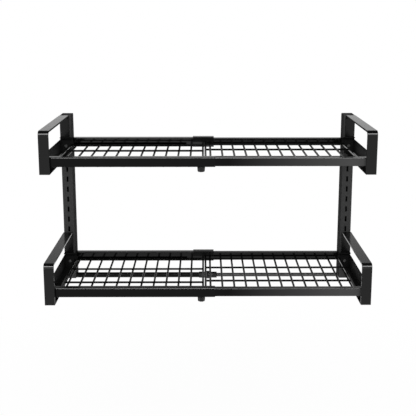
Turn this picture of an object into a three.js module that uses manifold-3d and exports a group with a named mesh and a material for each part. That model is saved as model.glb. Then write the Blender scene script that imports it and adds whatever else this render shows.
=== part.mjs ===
// Two-tier pot and pan rack that telescopes in width, in millimetres with +Z up.
// X runs across the rack, +Y points back at the wall, and Z = 0 is the foot of the two posts.
import * as THREE from "three";
import { mergeVertices } from "three/addons/utils/BufferGeometryUtils.js";
import Module from "manifold-3d";

const wasm = await Module();
wasm.setup();

// Overall sizes
const WIDTH = 640; // outside of the end frames
const DEPTH = 300; // wall to the front of the legs
const FOOT_DROP = 26; // posts run on this far below the lower tier
const TIER_RISE = 260; // lower tier to upper tier
const GAP = 0.3; // clearance between pieces that touch

// End frames, bent from flat band
const BAND_WIDTH = 20;
const BAND_THICK = 3.6;
const BAND_HEIGHT = 83.5;
const BAND_RADIUS = 9;
const ARC_STEPS = 6;

// Slotted posts and the hooks in their slots
const POST_WIDTH = 24;
const POST_DEPTH = 38;
const POST_WALL = 2;
const SLOT_WIDTH = 4;
const SLOT_HEIGHT = 12;
const SLOT_PITCH = 22.6;
const SLOTS_BELOW = 8; // slots below the upper tier's first hook
const HOOK_LOW = 9.7; // first hook above a tier's foot
const HOOK_STEP = 2; // second hook, in slot pitches above the first
const HOOK_PLAY = 0.5;
const HOOK_TALL = 7;
const HOOK_LIP = 3; // how far a hook reaches down behind the post's wall
const HOOK_THICK = 2;

// Side channels below the handle windows, open above
const CHANNEL_HEIGHT = 31;
const CHANNEL_SHEET = 1.5;
const END_WALL_TOP = 36; // channel's wall in front of the rear leg, above a tier's foot
const END_WALL_RIM = 8; // its folded rim, towards the front
const END_WALL_OVER = 1; // how far it reaches in over the end bar

// Telescoping rails of each tray
const RAIL_HEIGHT = 19;
const RAIL_DEPTH = 17;
const RAIL_FOOT = 13.3; // above a tier's foot
const RAIL_WALL = 1;
const INNER_WALL = 1.2;
const FRONT_RAIL_BACK = 9; // front rail, behind the legs' front
const REAR_RAIL_OUT = 10; // rear rail, in front of the wall
const MOUTH_X = 14; // open end of the outer rails
const RAIL_LAP = 60; // how far an inner rail reaches into an outer one
const END_GAP = 0.5; // tray ends to the posts and channels

// Tray end bars, which the decks' long wires run under
const BAR_WIDTH = 4;
const BAR_NECK = 2; // width beside the post
const BAR_THICK = 3;

// Wire decks
const WIRE = 4.2;
const WIRE_SIDES = 6;
const WELD = 1.5; // crossing wires sink this far into each other
const LEFT_CROSS_Z = 12.4; // above a tier's foot
const DECK_CLEAR = 0.3; // between wires of the two decks as they pass
const LEFT_FIRST = -9.8;
const LEFT_PITCH = 25.4;
const RIGHT_FIRST = 5.5;
const RIGHT_PITCH = 24.1;
const RIGHT_EXTRA = -4.4; // the inner edge wire of the right deck
const LONG_DEPTHS = [102, 197.5]; // left long wires, behind the legs' front
const LONG_SHIFT = 4.6; // right long wires, behind the left ones
const EDGE_GAP = 0.2; // edge wires to the rails' faces
const RIGHT_EDGE_IN = 10; // the right deck's rear edge wire, in front of the left one's
const DECK_SLOT = 5; // slot in the outer rails for the right deck's wires

// Rear joint sleeves
const SLEEVE_LONG = 46;
const SLEEVE_SHEET = 1.2;
const SLEEVE_LIP_UP = 1; // the sleeve's lip stays this far above the rail's slot
const SLEEVE_BACK = 1.5; // the sleeve's floor starts this far behind the rail's face

// Thumb screws under the front rails
const KNOB_X = -13;
const KNOB_TOP_R = 7.6;
const KNOB_LOW_R = 7;
const KNOB_TALL = 10.4;
const KNOB_LOBES = 8;
const KNOB_SWELL = 0.05; // height of a lobe, as a share of the radius
const STUD_R = 2.4;
const STUD_SHORT = 0.15; // stud's tip to the inner rail's floor

// Telescoping rod between the posts' feet, with its twist collar
const ROD_Z = 6.2;
const ROD_OUT = 31; // in front of the wall
const ROD_R = 5.9;
const ROD_BORE = 4.6;
const ROD_INNER_R = 4.2;
const ROD_INNER_BORE = 3;
const ROD_LAP = 46; // how far the inner rod reaches into the outer one
const COLLAR_X = [-19, -11, -4, 7, 21]; // mouth, end of the cone, flange, neck and tip
const COLLAR_R = 7.1;
const FLANGE_R = 8.6;
const NECK_R = 6.8;
const COLLAR_EDGE = 0.8;
const COLLAR_SEAT = 3; // the outer rod ends this far into the flange

// Derived places
const HALF = WIDTH / 2;
const INNER_X = HALF - BAND_WIDTH;
const POST_X = HALF - POST_WIDTH;
const SLOT_X = HALF - POST_WIDTH / 2;
const FRONT = -DEPTH;
const POST_FRONT = -POST_DEPTH;
const BAND_BACK = POST_FRONT - GAP;
const LOWER_FOOT = FOOT_DROP;
const UPPER_FOOT = FOOT_DROP + TIER_RISE;
const TRAY_X = HALF - CHANNEL_SHEET - GAP; // ends of the front rails, inside the channels
const REAR_X = POST_X - END_GAP; // ends of the rear rails, beside the posts
const BAR_X = REAR_X - BAR_NECK; // the end bars' sides towards the decks
const LEG_BACK = BAND_BACK - BAND_THICK - GAP; // where the channels end, at the rear legs
const FRONT_RAIL = [FRONT + FRONT_RAIL_BACK, FRONT + FRONT_RAIL_BACK + RAIL_DEPTH];
const REAR_RAIL = [-REAR_RAIL_OUT - RAIL_DEPTH, -REAR_RAIL_OUT];
const RAIL_Z = [RAIL_FOOT, RAIL_FOOT + RAIL_HEIGHT];
const NEST = RAIL_WALL + GAP; // an inner rail lies this far inside an outer one
const LEFT_LONG_Z = LEFT_CROSS_Z + WIRE - WELD;
const RIGHT_LONG_Z = LEFT_CROSS_Z + WIRE + DECK_CLEAR;
const RIGHT_CROSS_Z = RIGHT_LONG_Z + WIRE - WELD;
const WIRE_ROOM = BAR_X - WIRE / 2 - GAP;
const WIRE_END = BAR_X + BAR_WIDTH - GAP; // ends of the long wires, under the bars
const LEFT_COUNT = 1 + Math.floor((WIRE_ROOM + LEFT_FIRST) / LEFT_PITCH);
const RIGHT_COUNT = 1 + Math.floor((WIRE_ROOM - RIGHT_FIRST) / RIGHT_PITCH);
const WIRE_EDGE = WIRE / 2 + EDGE_GAP;
const EDGE_WIRES = [FRONT_RAIL[1] + WIRE_EDGE, REAR_RAIL[0] - WIRE_EDGE];
const RIGHT_EDGE_WIRES = [EDGE_WIRES[0], EDGE_WIRES[1] - RIGHT_EDGE_IN];
const ROD_END = COLLAR_X[2] + COLLAR_SEAT;

// Finishes
const coat = new THREE.MeshStandardMaterial({ color: 0x17181a, roughness: 0.42, metalness: 0.1 });
const plastic = new THREE.MeshStandardMaterial({ color: 0x101112, roughness: 0.5 });

// Solids: three.js makes the shapes, and joins and cuts are made on closed bodies.
function solid(geometry) {
  const bare = geometry.index ? geometry.toNonIndexed() : geometry.clone();
  bare.deleteAttribute("normal");
  bare.deleteAttribute("uv");
  const merged = mergeVertices(bare, 1e-4);
  const vertProperties = new Float32Array(merged.attributes.position.array);
  const triVerts = new Uint32Array(merged.index.array);
  return new wasm.Manifold(new wasm.Mesh({ numProp: 3, vertProperties, triVerts }));
}

function geometryOf(body) {
  const { vertProperties, triVerts } = body.getMesh();
  const geometry = new THREE.BufferGeometry();
  geometry.setAttribute("position", new THREE.BufferAttribute(new Float32Array(vertProperties), 3));
  geometry.setIndex([...triVerts]);
  geometry.computeVertexNormals();
  return geometry;
}

function joined(geometries) {
  return geometryOf(geometries.map(solid).reduce((all, one) => all.add(one)));
}

// Shapes
function box([x0, x1], [y0, y1], [z0, z1]) {
  const block = new THREE.BoxGeometry(x1 - x0, y1 - y0, z1 - z0);
  return block.translate((x0 + x1) / 2, (y0 + y1) / 2, (z0 + z1) / 2);
}

function outline(points) {
  return new THREE.Shape(points.map(([u, v]) => new THREE.Vector2(u, v)));
}

function rectangle([u0, u1], [v0, v1]) {
  return outline([[u0, v0], [u1, v0], [u1, v1], [u0, v1]]);
}

function hollow([u0, u1], [v0, v1], wall) {
  const shape = rectangle([u0, u1], [v0, v1]);
  shape.holes.push(rectangle([u0 + wall, u1 - wall], [v0 + wall, v1 - wall]));
  return shape;
}

function extruded(shape, length) {
  return new THREE.ExtrudeGeometry(shape, { depth: length, bevelEnabled: false, curveSegments: ARC_STEPS });
}

// A profile drawn in (Y, Z) and run along X
function alongX(shape, [x0, x1]) {
  const turned = extruded(shape, x1 - x0).rotateX(Math.PI / 2).rotateZ(Math.PI / 2);
  return turned.translate(x0, 0, 0);
}

// A profile drawn in (X, Z) and run along Y
function alongY(shape, [y0, y1]) {
  return extruded(shape, y1 - y0).rotateX(Math.PI / 2).translate(0, y1, 0);
}

function round(radius, length, sides) {
  return new THREE.CylinderGeometry(radius, radius, length, sides);
}

function wireX([x0, x1], y, z) {
  const wire = round(WIRE / 2, x1 - x0, WIRE_SIDES).rotateZ(Math.PI / 2);
  return wire.translate((x0 + x1) / 2, y, z);
}

function wireY([y0, y1], x, z) {
  return round(WIRE / 2, y1 - y0, WIRE_SIDES).translate(x, (y0 + y1) / 2, z);
}

function lathe(points, sides) {
  return new THREE.LatheGeometry(points.map(([r, h]) => new THREE.Vector2(r, h)), sides);
}

function spanX(side, near, far) {
  return side < 0 ? [-far, -near] : [near, far];
}

// Slotted post: a rectangular tube with slots in its front wall
function post(side) {
  const top = UPPER_FOOT + BAND_HEIGHT;
  let body = solid(extruded(hollow(spanX(side, POST_X, HALF), [POST_FRONT, 0], POST_WALL), top));
  const centres = [];
  for (let k = 0; k <= HOOK_STEP; k += 1) centres.push(LOWER_FOOT + HOOK_LOW + k * SLOT_PITCH);
  for (let k = -SLOTS_BELOW; k <= HOOK_STEP; k += 1) centres.push(UPPER_FOOT + HOOK_LOW + k * SLOT_PITCH);
  const wide = spanX(side, SLOT_X - SLOT_WIDTH / 2, SLOT_X + SLOT_WIDTH / 2);
  const through = [POST_FRONT - POST_WALL, POST_FRONT + 2 * POST_WALL];
  for (const z of centres) {
    body = body.subtract(solid(box(wide, through, [z - SLOT_HEIGHT / 2, z + SLOT_HEIGHT / 2])));
  }
  return geometryOf(body);
}

// End frame: an upside-down U of band, with two hooks through the post's slots
function bandShape() {
  const top = BAND_HEIGHT;
  const bend = top - BAND_RADIUS;
  const inside = BAND_RADIUS - BAND_THICK;
  const [front, back] = [FRONT + BAND_RADIUS, BAND_BACK - BAND_RADIUS];
  const shape = new THREE.Shape();
  shape.moveTo(FRONT, 0);
  shape.lineTo(FRONT + BAND_THICK, 0);
  shape.lineTo(FRONT + BAND_THICK, bend);
  shape.absarc(front, bend, inside, Math.PI, Math.PI / 2, true);
  shape.lineTo(back, top - BAND_THICK);
  shape.absarc(back, bend, inside, Math.PI / 2, 0, true);
  shape.lineTo(BAND_BACK - BAND_THICK, 0);
  shape.lineTo(BAND_BACK, 0);
  shape.lineTo(BAND_BACK, bend);
  shape.absarc(back, bend, BAND_RADIUS, 0, Math.PI / 2, false);
  shape.lineTo(front, top);
  shape.absarc(front, bend, BAND_RADIUS, Math.PI / 2, Math.PI, false);
  return shape;
}

function endFrame(side) {
  const half = SLOT_WIDTH / 2 - HOOK_PLAY;
  const wide = spanX(side, SLOT_X - half, SLOT_X + half);
  const lip = [POST_FRONT + POST_WALL + GAP, POST_FRONT + POST_WALL + GAP + HOOK_THICK];
  const pieces = [alongX(bandShape(), spanX(side, INNER_X, HALF))];
  for (const step of [0, HOOK_STEP]) {
    const seat = HOOK_LOW + step * SLOT_PITCH - SLOT_HEIGHT / 2 + GAP;
    pieces.push(box(wide, [BAND_BACK - BAND_THICK / 2, lip[1]], [seat, seat + HOOK_TALL]));
    pieces.push(box(wide, lip, [seat - HOOK_LIP, seat + HOOK_TALL / 2]));
  }
  return joined(pieces);
}

// Side channel: a folded sheet with a floor and an outer wall between the frame's two legs. A wall with a rim
// closes it in front of the rear leg, and steps over the end bar.
function sideChannel(side) {
  const [low, high] = [CHANNEL_SHEET, CHANNEL_HEIGHT];
  const wall = HALF - CHANNEL_SHEET;
  const fold = [[INNER_X, 0], [HALF, 0], [HALF, high], [wall, high], [wall, low], [INNER_X, low]];
  const long = alongY(outline(fold.map(([x, z]) => [side * x, z])), [FRONT + BAND_THICK + GAP, LEG_BACK]);
  const [face, step] = [LEG_BACK - CHANNEL_SHEET, barLow(side) + BAR_THICK + GAP];
  const [inside, beside] = [BAR_X - END_WALL_OVER, BAR_X + BAR_WIDTH + GAP];
  const wide = spanX(side, inside, HALF);
  const upper = box(wide, [face, LEG_BACK], [step, END_WALL_TOP]);
  const lower = box(spanX(side, beside, HALF), [face, LEG_BACK], [0, step]);
  const rim = box(wide, [face - END_WALL_RIM, LEG_BACK], [END_WALL_TOP - CHANNEL_SHEET, END_WALL_TOP]);
  return joined([long, upper, lower, rim]);
}

// Tray end bar: flat stock on top of the decks' long wires, narrowed beside the post
// on its way to the rear rail
function barLow(side) {
  return (side < 0 ? LEFT_LONG_Z : RIGHT_LONG_Z) + WIRE / 2 + GAP;
}

function endBar(side, [front, back]) {
  const high = [barLow(side), barLow(side) + BAR_THICK];
  const wide = box(spanX(side, BAR_X, BAR_X + BAR_WIDTH), [front, POST_FRONT - END_GAP], high);
  const neck = box(spanX(side, BAR_X, REAR_X), [POST_FRONT - BAR_WIDTH, back], high);
  return joined([wide, neck]);
}

// Outer rail: a tube slotted along its face towards the deck, which is +1 at the front and -1 at the rear
function outerRail([y0, y1], inward, end) {
  const [z0, z1] = RAIL_Z;
  const [low, high] = [RIGHT_CROSS_Z - DECK_SLOT / 2, RIGHT_CROSS_Z + DECK_SLOT / 2];
  const [face, back] = inward > 0 ? [y1, y0] : [y0, y1];
  const [faceIn, backIn] = [face - inward * RAIL_WALL, back + inward * RAIL_WALL];
  const [floor, roof] = [z0 + RAIL_WALL, z1 - RAIL_WALL];
  const points = [
    [face, low], [face, z0], [back, z0], [back, z1], [face, z1], [face, high],
    [faceIn, high], [faceIn, roof], [backIn, roof], [backIn, floor], [faceIn, floor], [faceIn, low],
  ];
  return alongX(outline(points), [-end, MOUTH_X]);
}

function frontOuterRail() {
  const middle = (FRONT_RAIL[0] + FRONT_RAIL[1]) / 2;
  const bore = round(STUD_R + GAP, 4 * RAIL_WALL, 16).rotateX(Math.PI / 2);
  const rail = solid(outerRail(FRONT_RAIL, 1, TRAY_X));
  return geometryOf(rail.subtract(solid(bore.translate(KNOB_X, middle, RAIL_FOOT))));
}

function innerRail([y0, y1], end) {
  const shape = hollow([y0 + NEST, y1 - NEST], [RAIL_Z[0] + NEST, RAIL_Z[1] - NEST], INNER_WALL);
  return alongX(shape, [MOUTH_X - RAIL_LAP, end]);
}

// Wire decks: cross wires welded to long wires. The right deck passes over the left one as the rack closes.
function leftDeck() {
  const ends = [-WIRE_END, LEFT_FIRST + WIRE / 2];
  const places = LONG_DEPTHS.map((depth) => FRONT + depth);
  const wires = places.map((y) => wireX(ends, y, LEFT_LONG_Z));
  for (const y of EDGE_WIRES) wires.push(wireX([-BAR_X + GAP, ends[1]], y, LEFT_LONG_Z));
  for (let k = 0; k < LEFT_COUNT; k += 1) {
    const x = LEFT_FIRST - k * LEFT_PITCH;
    wires.push(wireY([FRONT_RAIL[1] + GAP, REAR_RAIL[0] - GAP], x, LEFT_CROSS_Z));
  }
  return joined(wires);
}

function rightDeck() {
  const ends = [RIGHT_EXTRA - WIRE / 2, WIRE_END];
  const places = LONG_DEPTHS.map((depth) => FRONT + depth + LONG_SHIFT);
  const wires = places.map((y) => wireX(ends, y, RIGHT_LONG_Z));
  for (const y of RIGHT_EDGE_WIRES) wires.push(wireX([ends[0], BAR_X - GAP], y, RIGHT_CROSS_Z));
  const reach = [FRONT_RAIL[1] - RAIL_WALL, REAR_RAIL[0] + RAIL_WALL];
  wires.push(wireY(reach, RIGHT_EXTRA, RIGHT_CROSS_Z));
  for (let k = 0; k < RIGHT_COUNT; k += 1) {
    wires.push(wireY(reach, RIGHT_FIRST + k * RIGHT_PITCH, RIGHT_CROSS_Z));
  }
  return joined(wires);
}

// Rear sleeve: folded sheet round the mouth of the outer rear rail, open where the decks' wires pass
function rearSleeve() {
  const [y0, y1] = [REAR_RAIL[0] - GAP, REAR_RAIL[1] + GAP];
  const [z0, z1] = [RAIL_Z[0] - GAP, RAIL_Z[1] + GAP];
  const [front, back] = [y0 - SLEEVE_SHEET, y1 + SLEEVE_SHEET];
  const [low, high] = [z0 - SLEEVE_SHEET, z1 + SLEEVE_SHEET];
  const lip = RIGHT_CROSS_Z + DECK_SLOT / 2 + SLEEVE_LIP_UP;
  const points = [
    [y0 + SLEEVE_BACK, low], [back, low], [back, high], [front, high], [front, lip],
    [y0, lip], [y0, z1], [y1, z1], [y1, z0], [y0 + SLEEVE_BACK, z0],
  ];
  return alongX(outline(points), [MOUTH_X - SLEEVE_LONG, MOUTH_X]);
}

// Thumb screw: a lobed, tapered knob with a stud through the outer rail's floor
function thumbKnob() {
  const top = -GAP;
  const low = top - KNOB_TALL;
  const head = lathe([
    [0, low], [KNOB_LOW_R * 0.55, low], [KNOB_LOW_R * 0.9, low + 0.8], [KNOB_LOW_R, low + 2.4],
    [KNOB_TOP_R, top - 1.6], [KNOB_TOP_R * 0.92, top], [0, top],
  ], KNOB_LOBES * 4);
  const points = head.getAttribute("position");
  for (let i = 0; i < points.count; i += 1) {
    const turn = Math.atan2(points.getX(i), points.getZ(i));
    const swell = 1 + KNOB_SWELL * Math.cos(KNOB_LOBES * turn);
    points.setXYZ(i, points.getX(i) * swell, points.getY(i), points.getZ(i) * swell);
  }
  const tip = NEST - STUD_SHORT;
  const root = top - KNOB_TALL / 2;
  const stud = round(STUD_R, tip - root, 16).translate(0, (tip + root) / 2, 0);
  const middle = (FRONT_RAIL[0] + FRONT_RAIL[1]) / 2;
  return joined([head, stud]).rotateX(Math.PI / 2).translate(KNOB_X, middle, RAIL_FOOT);
}

// Rod pieces, round the rod's own axis
function ring(radius, sides) {
  const turn = (2 * Math.PI) / sides;
  return Array.from({ length: sides }, (_, i) => [radius * Math.cos(i * turn), radius * Math.sin(i * turn)]);
}

function pipe(radius, bore, ends, sides) {
  const shape = outline(ring(radius, sides));
  shape.holes.push(outline(ring(bore, sides)));
  return alongX(shape, ends);
}

function rodCollar() {
  const [mouth, cone, flange, neck, tip] = COLLAR_X;
  const socket = ROD_R + GAP;
  const bore = ROD_INNER_R + GAP;
  const seat = ROD_END + GAP;
  const profile = [
    [socket, mouth], [socket + COLLAR_EDGE, mouth], [COLLAR_R, cone], [COLLAR_R, flange],
    [FLANGE_R, flange + COLLAR_EDGE], [FLANGE_R, neck - COLLAR_EDGE], [NECK_R, neck],
    [NECK_R, tip - COLLAR_EDGE], [NECK_R - COLLAR_EDGE, tip], [bore, tip],
    [bore, seat], [socket, seat], [socket, mouth],
  ];
  return lathe(profile, 24).rotateZ(-Math.PI / 2);
}

// The assembly: two tiers that share their pieces' shapes, two posts, and the rod between the posts
function node(parent, name, geometry, material = coat) {
  const mesh = new THREE.Mesh(geometry, material);
  mesh.name = name;
  parent.add(mesh);
}

function pieceShapes() {
  const outerGap = [FRONT_RAIL[1] + GAP, REAR_RAIL[0] - GAP];
  const innerGap = [outerGap[0] - NEST, outerGap[1] + NEST];
  return {
    end_frame_left: endFrame(-1),
    end_frame_right: endFrame(1),
    side_channel_left: sideChannel(-1),
    side_channel_right: sideChannel(1),
    end_bar_left: endBar(-1, outerGap),
    end_bar_right: endBar(1, innerGap),
    front_rail_outer: frontOuterRail(),
    front_rail_inner: innerRail(FRONT_RAIL, TRAY_X),
    rear_rail_outer: outerRail(REAR_RAIL, -1, REAR_X),
    rear_rail_inner: innerRail(REAR_RAIL, REAR_X),
    deck_left: leftDeck(),
    deck_right: rightDeck(),
    rear_sleeve: rearSleeve(),
  };
}

function tier(name, foot, shapes) {
  const group = new THREE.Group();
  group.position.z = foot;
  for (const [piece, geometry] of Object.entries(shapes)) node(group, name + "_" + piece, geometry);
  node(group, name + "_thumb_knob", thumbKnob(), plastic);
  return group;
}

function rod() {
  const group = new THREE.Group();
  group.position.set(0, -ROD_OUT, ROD_Z);
  node(group, "rod_outer", pipe(ROD_R, ROD_BORE, [-POST_X + GAP, ROD_END], 20));
  node(group, "rod_inner", pipe(ROD_INNER_R, ROD_INNER_BORE, [ROD_END - ROD_LAP, POST_X - GAP], 16));
  node(group, "rod_collar", rodCollar(), plastic);
  return group;
}

const rack = new THREE.Group();
const shapes = pieceShapes();
node(rack, "post_left", post(-1));
node(rack, "post_right", post(1));
rack.add(tier("lower", LOWER_FOOT, shapes), tier("upper", UPPER_FOOT, shapes), rod());

export default rack;
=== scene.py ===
"""Looks of a telescoping two-tier pot and pan rack: sheet metal, wire decks, finishes, light and camera."""

import logging
import math
from dataclasses import dataclass, field
from enum import Enum
from typing import Any, Callable, Iterable, Sequence

import bmesh
import bpy
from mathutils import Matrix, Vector


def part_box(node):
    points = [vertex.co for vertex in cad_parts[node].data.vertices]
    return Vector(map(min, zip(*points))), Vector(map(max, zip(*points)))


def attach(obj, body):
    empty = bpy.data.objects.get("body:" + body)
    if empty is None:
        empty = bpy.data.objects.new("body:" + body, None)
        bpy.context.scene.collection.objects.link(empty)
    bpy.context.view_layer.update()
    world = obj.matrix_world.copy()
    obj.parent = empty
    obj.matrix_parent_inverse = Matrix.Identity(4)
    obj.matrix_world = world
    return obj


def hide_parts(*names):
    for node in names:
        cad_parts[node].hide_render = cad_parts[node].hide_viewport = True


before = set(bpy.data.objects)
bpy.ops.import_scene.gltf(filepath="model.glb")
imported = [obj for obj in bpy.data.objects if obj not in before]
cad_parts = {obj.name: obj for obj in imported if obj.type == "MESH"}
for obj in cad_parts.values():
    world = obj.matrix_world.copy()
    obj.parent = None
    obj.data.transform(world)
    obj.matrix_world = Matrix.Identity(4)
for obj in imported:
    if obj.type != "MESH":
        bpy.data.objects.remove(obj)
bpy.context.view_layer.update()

LOG = logging.getLogger("rack")
MM = 0.001
WHITE = (1.0, 1.0, 1.0, 1.0)
LEAST_MITRE = 0.2
TURNED_DEG = 40.0

Point2 = tuple[float, float]
Loop = list[Point2]
Turning = Callable[[float, float, float], Vector]


class Tier(Enum):
    """The two shelves, by the first word of their nodes' names."""

    LOWER = "lower"
    UPPER = "upper"

    def node(self, piece: str) -> str:
        """The name of this tier's node for a piece."""
        return f"{self.value}_{piece}"

    def body(self, hand: "Hand") -> str:
        """The name of the moving body that holds this tier's half."""
        return hand.value if self is Tier.LOWER else f"upper_{hand.value}"


class Hand(Enum):
    """The two halves of the rack: outer rails on the left, inner rails on the right."""

    LEFT = "left"
    RIGHT = "right"

    @property
    def side(self) -> int:
        """-1 on the left and 1 on the right."""
        return -1 if self is Hand.LEFT else 1


class Row(Enum):
    """The two rows of rails, by a word of their nodes' names."""

    FRONT = "front"
    REAR = "rear"


class Slot(Enum):
    """The record's material slots."""

    COAT = "powder_coat"
    PLASTIC = "black_plastic"


class Axis(Enum):
    """The axis that a profile is run along, with the order of its own two coordinates and its length."""

    X = (2, 0, 1)
    Y = (0, 2, 1)
    Z = (0, 1, 2)

    def place(self, u: float, v: float, along: float) -> Vector:
        """The point in space for a profile point at a distance along the axis."""
        values = (u, v, along)
        return Vector(values[i] for i in self.value)


# Shader maths


class Value:
    """A number in a node tree, so that shader maths reads as Python arithmetic."""

    def __init__(self, graph: "Graph", socket: bpy.types.NodeSocket) -> None:
        """Keeps the socket and the graph that it belongs to.

        Args:
            graph: the graph that new Math nodes go into.
            socket: the output socket that holds the number.
        """
        self.graph = graph
        self.socket = socket

    def _math(self, operation: str, first: Any, second: Any) -> "Value":
        """Adds one Math node and wraps its result."""
        made = self.graph.node("ShaderNodeMath", {"operation": operation}, {0: first, 1: second})
        return Value(self.graph, made.outputs[0])

    def __add__(self, other: Any) -> "Value":
        """self + other"""
        return self._math("ADD", self, other)

    __radd__ = __add__

    def __sub__(self, other: Any) -> "Value":
        """self - other"""
        return self._math("SUBTRACT", self, other)

    def __rsub__(self, other: Any) -> "Value":
        """other - self"""
        return self._math("SUBTRACT", other, self)

    def __mul__(self, other: Any) -> "Value":
        """self * other"""
        return self._math("MULTIPLY", self, other)

    __rmul__ = __mul__

    def at_most(self, other: Any) -> "Value":
        """The smaller of the two."""
        return self._math("MINIMUM", self, other)

    def at_least(self, other: Any) -> "Value":
        """The larger of the two."""
        return self._math("MAXIMUM", self, other)


class Graph:
    """A node tree with one way to add a node."""

    def __init__(self, tree: bpy.types.NodeTree) -> None:
        """Empties the tree and keeps it.

        Args:
            tree: a shader or geometry node tree.
        """
        self.tree = tree
        tree.nodes.clear()

    def node(self, kind: str, settings: dict | None = None, sockets: dict | None = None) -> bpy.types.Node:
        """Adds a node.

        Args:
            kind: the node's type.
            settings: attributes that are set first, such as a Math node's operation.
            sockets: values or links of its inputs, by name or number.

        Returns:
            The new node.
        """
        made = self.tree.nodes.new(kind)
        for name, setting in (settings or {}).items():
            setattr(made, name, setting)
        for key, given in (sockets or {}).items():
            self.feed(made.inputs[key], given)
        return made

    def feed(self, socket: bpy.types.NodeSocket, given: Any) -> None:
        """Links a socket to another one, or sets its value.

        Args:
            socket: the input socket.
            given: a Value or an output socket to link, or a plain value.
        """
        if isinstance(given, Value):
            given = given.socket
        if isinstance(given, bpy.types.NodeSocket):
            self.tree.links.new(given, socket)
        else:
            socket.default_value = given

    def value(self, made: bpy.types.Node, output: str | int = 0) -> Value:
        """One of a node's outputs, ready for arithmetic."""
        return Value(self, made.outputs[output])


def grey(level: float) -> tuple[float, float, float, float]:
    """A grey of this level, as a colour socket takes it."""
    return (level, level, level, 1.0)


def blend(one: Value, other: Value, share: float) -> Value:
    """Two values added up, with this share of the first one."""
    return share * one + (1 - share) * other


# Finishes


@dataclass(frozen=True)
class PowderCoat:
    """Black powder coat on steel: a fine orange peel, faint mottling and small changes of gloss.

    Attributes:
        name: the material's name.
        dark: the coat's darkest grey.
        light: its lightest grey.
        gloss: its least and most roughness.
        peel_mm: the orange peel's grain.
        peel: the strength of its relief.
        mottle_mm: the size of the mottled patches.
        index: the coat's index of refraction.
        painted_ramp: where along X a painted light ramp starts to rise from the dark grey and where it is
            full, if there is one: painted shade at its start and a lighter painted tone past its end.
        ramp_fixed: the share of that painted ramp that mottling doesn't change.
        fine: the finest grain, as a share of the peel's.
        peel_deep: the depth of the peel's relief.
        mottle_tint: the mottling's share in the grey, beside the finest grain.
        mottle_gloss: its share in the roughness, beside the peel.
        peel_relief: the peel's share in the relief, beside the finest grain.
    """

    name: str
    dark: float = 0.004
    light: float = 0.006
    gloss: tuple[float, float] = (0.14, 0.22)
    peel_mm: float = 1.1
    peel: float = 0.03
    mottle_mm: float = 34.0
    index: float = 1.33
    painted_ramp: Point2 | None = None
    ramp_fixed: float = 0.85
    fine: float = 0.32
    peel_deep: float = 0.25 * MM
    mottle_tint: float = 0.7
    mottle_gloss: float = 0.6
    peel_relief: float = 0.75

    def material(self) -> bpy.types.Material:
        """Builds the material.

        Returns:
            A material that reads Object coordinates.
        """
        made = bpy.data.materials.new(self.name)
        made.use_nodes = True
        graph = Graph(made.node_tree)
        place = graph.node("ShaderNodeTexCoord").outputs["Object"]
        peel = self._noise(graph, place, self.peel_mm, 2.0)
        fine = self._noise(graph, place, self.peel_mm * self.fine, 1.0)
        mottle = self._noise(graph, place, self.mottle_mm, 3.0)
        share = blend(mottle, fine, self.mottle_tint).at_most(1.0)
        # Painted light ramp: the grey rises along X from the dark end to the full tone, painted shade at the
        # start and a lighter painted tone past the end.
        if self.painted_ramp:
            start, end = self.painted_ramp
            across = graph.value(graph.node("ShaderNodeSeparateXYZ", None, {0: place}), "X")
            painted_ramp_share = ((across - start) * (1 / (end - start))).at_least(0.0).at_most(1.0)
            share = painted_ramp_share * (self.ramp_fixed + (1 - self.ramp_fixed) * share)
        colour = graph.node("ShaderNodeMix", {"data_type": "RGBA"}, {
            "Factor": share, 6: grey(self.dark), 7: grey(self.light),
        })
        low, high = self.gloss
        rough = low + (high - low) * blend(mottle, peel, self.mottle_gloss)
        bump = graph.node("ShaderNodeBump", None, {
            "Strength": self.peel, "Distance": self.peel_deep,
            "Height": blend(peel, fine, self.peel_relief),
        })
        shader = graph.node("ShaderNodeBsdfPrincipled", None, {
            "Base Color": colour.outputs[2], "Roughness": rough, "Normal": bump.outputs[0],
            "IOR": self.index,
        })
        graph.node("ShaderNodeOutputMaterial", None, {"Surface": shader.outputs[0]})
        return made

    @staticmethod
    def _noise(graph: Graph, place: bpy.types.NodeSocket, grain_mm: float, detail: float) -> Value:
        """Noise of even roughness, whose grains are about this many millimetres across."""
        made = graph.node("ShaderNodeTexNoise", None, {
            "Vector": place, "Scale": 1.0 / (grain_mm * MM), "Detail": detail, "Roughness": 0.5,
        })
        return graph.value(made)


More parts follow.
